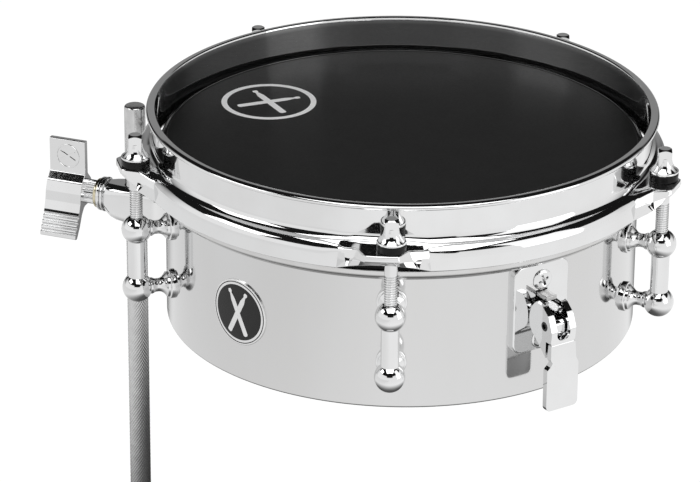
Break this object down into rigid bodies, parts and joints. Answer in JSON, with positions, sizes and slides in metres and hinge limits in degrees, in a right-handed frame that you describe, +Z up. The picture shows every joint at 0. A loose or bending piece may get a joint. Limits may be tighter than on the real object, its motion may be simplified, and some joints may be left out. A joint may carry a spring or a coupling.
{
  "type": "snare drum",
  "caption": "Shallow steel snare drum with tube lugs, black head, throw-off lever and knurled mounting rod with wing-nut clamp.",
  "frame": {"origin": "centre of the mounting rod's lower end face", "axes": "+Z up along the rod and the drum's axis, -Y towards the side with the front lug, +X from the rod towards the drum's side away from it"},
  "size_m": [0.2792, 0.237, 0.2481],
  "materials": {
    "chrome": "bright chrome plate",
    "steel": "zinc-plated or knurled steel",
    "brass": "pale nickel-tinted brass",
    "film": "black satin polyester film",
    "nylon": "black nylon",
    "badge": "black enamel with plain silver rings",
    "alloy": "polished aluminium"
  },
  "bodies": {
    "rod": {"mount_rod": "steel"},
    "drum": {"shell": "chrome", "drum_head": "film", "flesh_hoop": "alloy", "counter_hoop": "chrome", "lug_1": "chrome", "lug_2": "chrome", "lug_3": "chrome", "lug_4": "chrome", "lug_5": "chrome", "lug_screw_upper_1": "steel", "lug_screw_upper_2": "steel", "lug_screw_upper_3": "steel", "lug_screw_upper_4": "steel", "lug_screw_upper_5": "steel", "lug_screw_lower_1": "steel", "lug_screw_lower_2": "steel", "lug_screw_lower_3": "steel", "lug_screw_lower_4": "steel", "lug_screw_lower_5": "steel", "badge": "badge", "strainer_plate": "chrome", "strainer_screw_upper": "chrome", "strainer_screw_lower": "chrome", "pivot_pin": "steel", "slide_guide": "steel", "mount_bracket": "chrome", "bracket_screw_upper": "steel", "bracket_screw_lower": "steel", "eyebolt": "steel"},
    "lever": {"throw_off_lever": "chrome"},
    "snares": {"snare_slide": "steel", "snare_arm": "steel", "arm_screw_upper": "steel", "arm_screw_lower": "steel", "snare_wires": "steel"},
    "clamp_washers": {"plain_washer": "chrome", "brass_washer": "brass"},
    "wing_nut": {"wing_nut": "chrome"},
    "washer_1": {"nylon_washer_1": "nylon"},
    "tension_rod_1": {"tension_rod_1": "chrome"},
    "washer_2": {"nylon_washer_2": "nylon"},
    "tension_rod_2": {"tension_rod_2": "chrome"},
    "washer_3": {"nylon_washer_3": "nylon"},
    "tension_rod_3": {"tension_rod_3": "chrome"},
    "washer_4": {"nylon_washer_4": "nylon"},
    "tension_rod_4": {"tension_rod_4": "chrome"},
    "washer_5": {"nylon_washer_5": "nylon"},
    "tension_rod_5": {"tension_rod_5": "chrome"}
  },
  "joints": [
    {"name": "drum_height", "type": "slide", "parent": "rod", "child": "drum", "axis": [0, 0, 1], "range_m": [-0.1, 0.025]},
    {"name": "wing_nut_travel", "type": "slide", "parent": "drum", "child": "clamp_washers", "axis": [-0.9358, 0.3525, 0], "range_m": [0, 0.003]},
    {"name": "wing_nut_turn", "type": "hinge", "parent": "clamp_washers", "child": "wing_nut", "pos_m": [-0.02789, 0.0105, 0.1842], "axis": [-0.9358, 0.3525, 0], "range_deg": [0, 1080]},
    {"name": "lever_swing", "type": "hinge", "parent": "drum", "child": "lever", "pos_m": [0.18013, -0.14036, 0.1908], "axis": [-0.8368, -0.5476, 0], "range_deg": [0, 95]},
    {"name": "snare_drop", "type": "slide", "parent": "drum", "child": "snares", "axis": [0, 0, -1], "range_m": [0, 0.004]},
    {"name": "tension_travel_1", "type": "slide", "parent": "drum", "child": "washer_1", "axis": [0, 0, 1], "range_m": [0, 0.00317]},
    {"name": "tension_turn_1", "type": "hinge", "parent": "washer_1", "child": "tension_rod_1", "pos_m": [0.11179, -0.16071, 0.234], "axis": [0, 0, 1], "range_deg": [0, 1080]},
    {"name": "tension_travel_2", "type": "slide", "parent": "drum", "child": "washer_2", "axis": [0, 0, 1], "range_m": [0, 0.00317]},
    {"name": "tension_turn_2", "type": "hinge", "parent": "washer_2", "child": "tension_rod_2", "pos_m": [0.22637, -0.08527, 0.234], "axis": [0, 0, 1], "range_deg": [0, 1080]},
    {"name": "tension_travel_3", "type": "slide", "parent": "drum", "child": "washer_3", "axis": [0, 0, 1], "range_m": [0, 0.00317]},
    {"name": "tension_turn_3", "type": "hinge", "parent": "washer_3", "child": "tension_rod_3", "pos_m": [0.19003, 0.04702, 0.234], "axis": [0, 0, 1], "range_deg": [0, 1080]},
    {"name": "tension_travel_4", "type": "slide", "parent": "drum", "child": "washer_4", "axis": [0, 0, 1], "range_m": [0, 0.00317]},
    {"name": "tension_turn_4", "type": "hinge", "parent": "washer_4", "child": "tension_rod_4", "pos_m": [0.05299, 0.05334, 0.234], "axis": [0, 0, 1], "range_deg": [0, 1080]},
    {"name": "tension_travel_5", "type": "slide", "parent": "drum", "child": "washer_5", "axis": [0, 0, 1], "range_m": [0, 0.00317]},
    {"name": "tension_turn_5", "type": "hinge", "parent": "washer_5", "child": "tension_rod_5", "pos_m": [0.00463, -0.07504, 0.234], "axis": [0, 0, 1], "range_deg": [0, 1080]}
  ],
  "couplings": [
    {"joint": "wing_nut_turn", "follows": "wing_nut_travel", "rad_per_m": 6283.2},
    {"joint": "lever_swing", "follows": "snare_drop", "rad_per_m": 414.5},
    {"joint": "tension_turn_1", "follows": "tension_travel_1", "rad_per_m": 5936.9},
    {"joint": "tension_turn_2", "follows": "tension_travel_2", "rad_per_m": 5936.9},
    {"joint": "tension_turn_3", "follows": "tension_travel_3", "rad_per_m": 5936.9},
    {"joint": "tension_turn_4", "follows": "tension_travel_4", "rad_per_m": 5936.9},
    {"joint": "tension_turn_5", "follows": "tension_travel_5", "rad_per_m": 5936.9}
  ]
}
